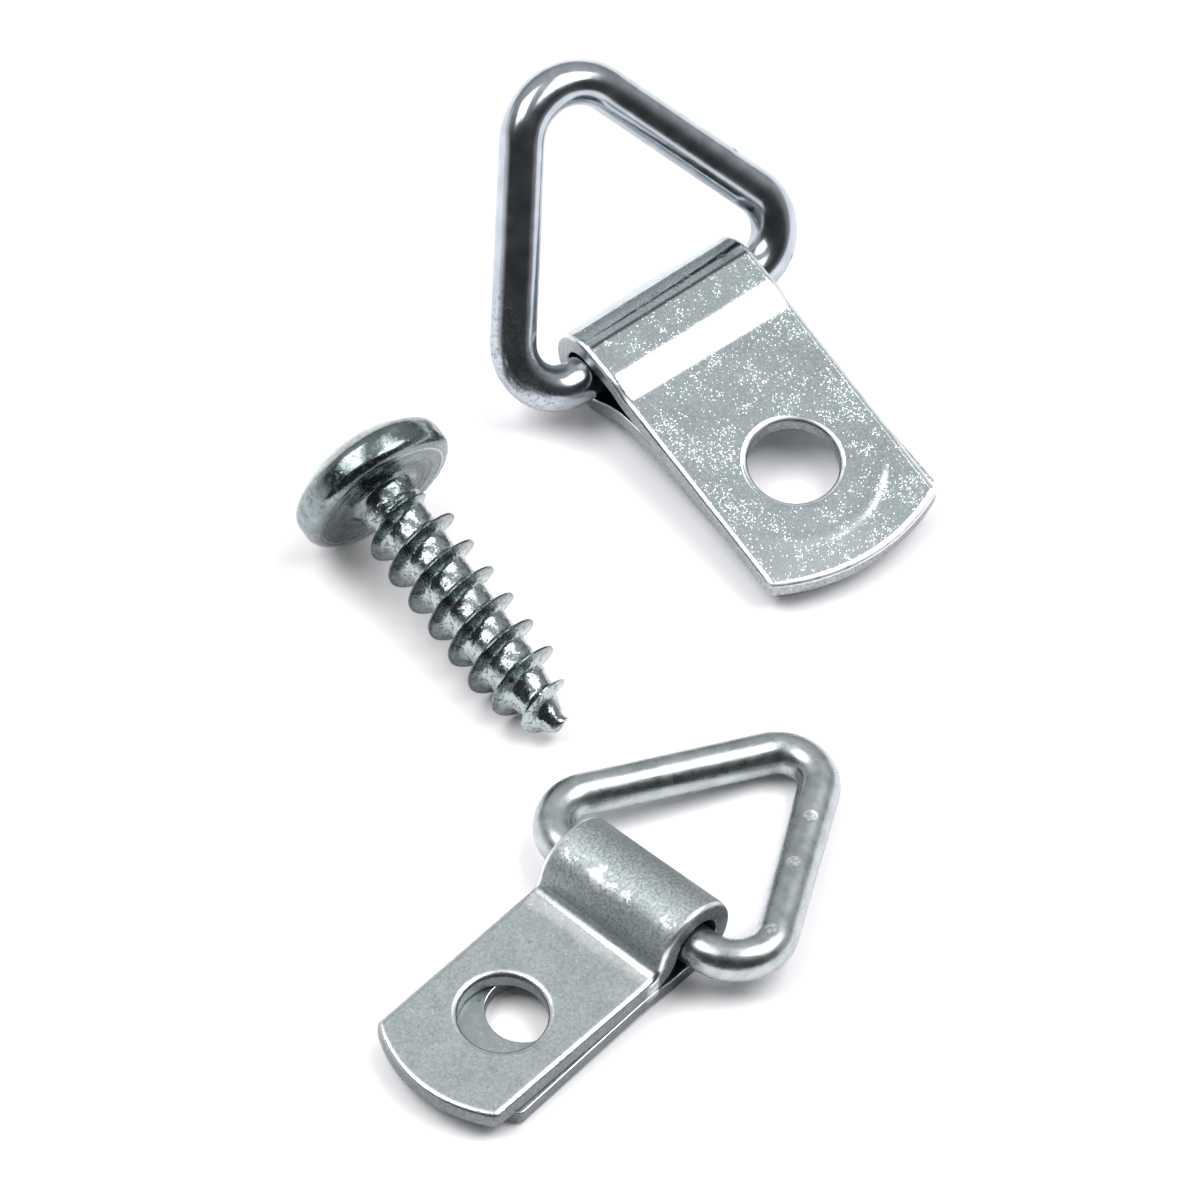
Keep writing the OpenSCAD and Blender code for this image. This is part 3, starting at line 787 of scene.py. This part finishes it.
def cross_cutter():
    """Two crossed tapered bars. The second is a hair larger and deeper, so that no faces coincide."""
    mesh = bpy.data.meshes.new("cross_cutter")
    bm = bmesh.new()
    mouth = (recess_width / 2 + recess_overrun[0], recess_arm / 2, -screw_head_height - recess_overrun[1])
    floor = (recess_width / 2 - recess_floor_inset, recess_arm / 2 * recess_floor_share,
             -screw_head_height + recess_depth)
    for turn, second in ((0, 0), (QUARTER_TURN, 1)):
        grow = 1.0 + crossed_arm_growth * second
        c, s = math.cos(turn), math.sin(turn)
        verts = []
        for reach, half, level in (mouth, floor):
            for side_x, side_y in ((-1, 1), (1, 1), (1, -1), (-1, -1)):
                px, py = side_x * reach, side_y * half
                verts.append(bm.verts.new(((px * c - py * s) * grow * MM, (px * s + py * c) * grow * MM,
                                           (level - crossed_arm_sink * second) * MM)))
        for corners in ((0, 1, 2, 3), (7, 6, 5, 4), (0, 4, 5, 1), (1, 5, 6, 2), (2, 6, 7, 3), (3, 7, 4, 0)):
            bm.faces.new([verts[i] for i in corners])
    bmesh.ops.recalc_face_normals(bm, faces=bm.faces)
    bm.to_mesh(mesh)
    bm.free()
    return added("cross_cutter", mesh)


def threaded(bm):
    """The thread as one grid of points, a turn at a time, from inside the neck to the point."""
    start_z = thread_shift - screw_pitch / 2
    crest_middle = screw_pitch - thread_foot / 2
    profile = [(0.0, 0.0), (0.3, root_dip), (screw_pitch - thread_foot - 0.1, root_dip)]
    profile += [(crest_middle + offset * thread_foot, rise) for offset, rise in thread_flank]
    profile += [(crest_middle + side * crest_width / 2, 1.0) for side in (-1, 1)]
    profile += [(crest_middle - offset * thread_foot, rise) for offset, rise in thread_flank[:0:-1]]
    profile.append((screw_pitch, 0.0))
    steps = math.ceil((screw_length - start_z + screw_pitch) / screw_pitch * thread_steps)
    grid = []
    for k in range(steps + 1):
        a = 2 * HALF_TURN * k / thread_steps
        row = []
        for offset, rise in profile:
            z = min(start_z + screw_pitch * k / thread_steps + offset, screw_length)
            growth = min(1.0, max(0.0, (z - thread_fade_start) / screw_pitch))
            core = max(point_core, screw_core / 2 * point_taper(z))
            r = core + (screw_thread - screw_core) / 2 * max(rise * growth, root_dip) * point_taper(z)
            row.append(bm.verts.new((r * math.cos(a) * MM, r * math.sin(a) * MM, z * MM)))
        grid.append(row)
    for a, b in zip(grid, grid[1:]):
        for j in range(len(profile) - 1):
            bm.faces.new((a[j], b[j], b[j + 1], a[j + 1]))


head = revolved("screw_head", head_outline(), head_sides)
cutter = cross_cutter()
recess = head.modifiers.new("recess", "BOOLEAN")
recess.operation, recess.solver, recess.object, recess.use_self = "DIFFERENCE", "EXACT", cutter, True
bpy.context.view_layer.update()
head_mesh = bpy.data.meshes.new_from_object(head.evaluated_get(bpy.context.evaluated_depsgraph_get()))
bpy.data.objects.remove(head)
bpy.data.objects.remove(cutter)

first_crest = thread_shift - (screw_pitch + thread_foot - crest_width) / 2
full_turns = math.floor((screw_length - screw_point_length - first_crest) / screw_pitch)
rest_z = first_crest + screw_pitch * full_turns
rest_r = screw_thread / 2
edge_rise = screw_head / 2 - head_edge_radius - rest_r
edge_run = rest_z + head_edge_radius
screw_tilt = math.atan(edge_rise / edge_run) + math.asin(head_edge_radius / math.hypot(edge_run, edge_rise))
screw_z = rest_z * math.sin(screw_tilt) + rest_r * math.cos(screw_tilt)
screw_lay = placed((*screw_place, screw_z), screw_turn, QUARTER_TURN + screw_tilt)

bm = bmesh.new()
bm.from_mesh(head_mesh)
threaded(bm)
neck_rings = [[bm.verts.new(point) for point in circle(radius, z, neck_sides)] for radius, z in neck_curve]
for low, high in zip(neck_rings, neck_rings[1:]):
    for k in range(neck_sides):
        j = (k + 1) % neck_sides
        bm.faces.new((low[k], low[j], high[j], high[k]))
bmesh.ops.remove_doubles(bm, verts=bm.verts, dist=1e-6)
bmesh.ops.dissolve_degenerate(bm, dist=1e-6, edges=bm.edges)
bmesh.ops.recalc_face_normals(bm, faces=bm.faces)
bm.transform(screw_lay)
for f in bm.faces:
    f.smooth = True
for e in bm.edges:
    e.smooth = len(e.link_faces) != 2 or e.calc_face_angle(0.0) < math.radians(smooth_angle)
screw_mesh = bpy.data.meshes.new("screw_steel")
bm.to_mesh(screw_mesh)
bm.free()
screw = added("screw_steel", screw_mesh)

zinc_screw, blank, shader = metal("zinc_screw_steel")
place, (x, y, z) = in_mm(blank, screw_lay)
mottle = cloud(blank, place, 1.2, 5.0)
grains = cloud(blank, place, 13.0, 3.0, 0.7)
pits = cloud(blank, place, 5.0, 4.0, 0.75)
from_axis = x.math("SQRT", x * x + y * y)
shank = z.ramp(0.0, 0.5)
fleck_normal = flecks(blank, place, 14.0, 0.3, 0.03 + 0.3 * shank)[0]
colour = mottle.ramp(0.35, 0.65).blend(screw_zinc, pale_screw_zinc)
# Painted highlight: the thread's valleys get a paler colour than the rest of the shank.
valley_highlight = from_axis.ramp(1.45, 1.25) * z.ramp(0.5, 0.9)
colour = (valley_highlight * 0.8).blend(colour, valley_painted_highlight)
colour = (pits.ramp(0.53, 0.57) * (0.4 + 0.35 * shank)).blend(colour, dark_pit)
# Painted shade: a dark line on the thread's crests. It is set by the distance from the axis alone, so it also
# darkens rings of the head at that distance.
crest_shade_mask = from_axis.ramp(screw_thread / 2 - 0.18, screw_thread / 2 - 0.06) * from_axis.ramp(2.2, 2.0)
colour = (crest_shade_mask * 0.75).blend(colour, crest_painted_shade)
# Near the bearing face under the head: painted shade darkens all of it, and the fine rings, also given as a
# bump, darken it more.
under_head = z.near(0.0, 0.25)
face_rings = x.math("SINE", from_axis * 22.0) * 0.5 + 0.5
colour = (under_head * (0.25 + 0.45 * face_rings)).blend(colour, face_rings_and_painted_shade)
# Painted highlight: a pale thin ring at the outer rim of the bearing face.
lip_highlight = from_axis.near(lip_radius, 0.08) * under_head
colour = (lip_highlight * 0.7).blend(colour, lip_painted_highlight)
height = 0.003 * grains + (0.004 + 0.005 * shank) * pits + under_head * face_rings * 0.004
feed(blank, shader, Base_Color=colour, Roughness=0.06 + 0.08 * mottle + 0.25 * pits.ramp(0.5, 0.6),
     Normal=relief(blank, height, fleck_normal))
screw_mesh.materials.append(zinc_screw)
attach(screw, "screw")
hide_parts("screw")

# Table, light and camera.
# A white table top between two soft boxes, left and right of the camera and high up. The camera's own side
# of the room is dark and the far side grey. The camera looks down from the front through a very long lens.
table_half = 0.6
table_drop = 0.00001
table_white = (0.90, 0.89, 0.91, 1)
table_as_light = (0.30, 0.30, 0.31, 1)
box_light = 4.0
left_box_across = (-1.0, -0.9, -0.26, -0.2)
right_box_across = (0.235, 0.26, 1.15, 1.3)
boxes_ahead = (-0.34, -0.24, 0.5, 0.6)
left_box_far_edge = (0.4, 0.5)
diffuse_gain = 1.55
photo_pixels = 1200
pixels_per_mm = 25.21
camera_elevation = 54.8
camera_aim = (-0.66, 3.385, 0)
camera_distance = 0.3


def seen_by(blank, *kinds):
    """1 for rays of these kinds, 0 for the others."""
    total = 0.0
    for kind in kinds:
        total = total + blank.make("ShaderNodeLightPath", out=kind)
    return total


def between(shade, outer_low, inner_low, inner_high, outer_high):
    return shade.ramp(outer_low, inner_low) * shade.ramp(outer_high, inner_high)


table_mesh = bpy.data.meshes.new("table_top")
table_mesh.from_pydata([(side_x * table_half, side_y * table_half, 0)
                        for side_x, side_y in ((-1, -1), (1, -1), (1, 1), (-1, 1))], [], [(0, 1, 2, 3)])
table = added("table_top", table_mesh)
table.location.z = -table_drop
white, blank, shader = metal("white_table")
shader.inputs["Metallic"].default_value = 0.0
seen = seen_by(blank, "Is Camera Ray", "Is Glossy Ray", "Is Transmission Ray")
feed(blank, shader, Base_Color=seen.blend(table_as_light, table_white))
shader.inputs["Roughness"].default_value = 0.9
shader.inputs["Specular IOR Level"].default_value = 0.1
table_mesh.materials.append(white)

world = bpy.data.worlds.new("studio")
bpy.context.scene.world = world
world.use_nodes = True
blank = Shade(world.node_tree)
x, y, z = blank.make("ShaderNodeTexCoord", out="Generated").parts()
height = z.math("MAXIMUM", z, 0.02)
across, ahead = x / height, y / height
boxes_deep = between(ahead, *boxes_ahead) * z.ramp(0.1, 0.2)
far_low, far_high = left_box_far_edge
left_box = between(across, *left_box_across) * boxes_deep * ahead.ramp(far_high, far_low)
right_box = between(across, *right_box_across) * boxes_deep
far_side = 0.62 * y.ramp(-0.45, 0.75) * (0.6 + 0.4 * z.ramp(0.1, 0.6))
ceiling = 0.35 * z.ramp(0.85, 1.0)
horizon = (0.85 * x.ramp(-0.75, -0.95) + 0.25 * x.ramp(0.75, 0.95)) * z.ramp(0.45, 0.1)
studio = 0.05 + far_side + ceiling + horizon + box_light * left_box + box_light * right_box
camera_ray = seen_by(blank, "Is Camera Ray")
gain = diffuse_gain + (1.0 - diffuse_gain) * seen_by(blank, "Is Glossy Ray")
strength = camera_ray + (1.0 - camera_ray) * studio * gain
background = world.node_tree.nodes["Background"]
world.node_tree.links.new(strength.socket, background.inputs["Strength"])
background.inputs["Color"].default_value = (1, 1, 1, 1)

camera = added("camera", bpy.data.cameras.new("camera"))
camera.data.type = "ORTHO"
camera.data.ortho_scale = photo_pixels / pixels_per_mm * MM
lift = math.radians(camera_elevation)
back = Vector((0, -math.cos(lift), math.sin(lift)))
camera.location = Vector(camera_aim) * MM + back * camera_distance
camera.rotation_euler = (QUARTER_TURN - lift, 0, 0)
camera.data.clip_start, camera.data.clip_end = 0.01, 5
bpy.context.scene.camera = camera
bpy.context.scene.view_settings.view_transform = "Standard"

bpy.context.view_layer.update()
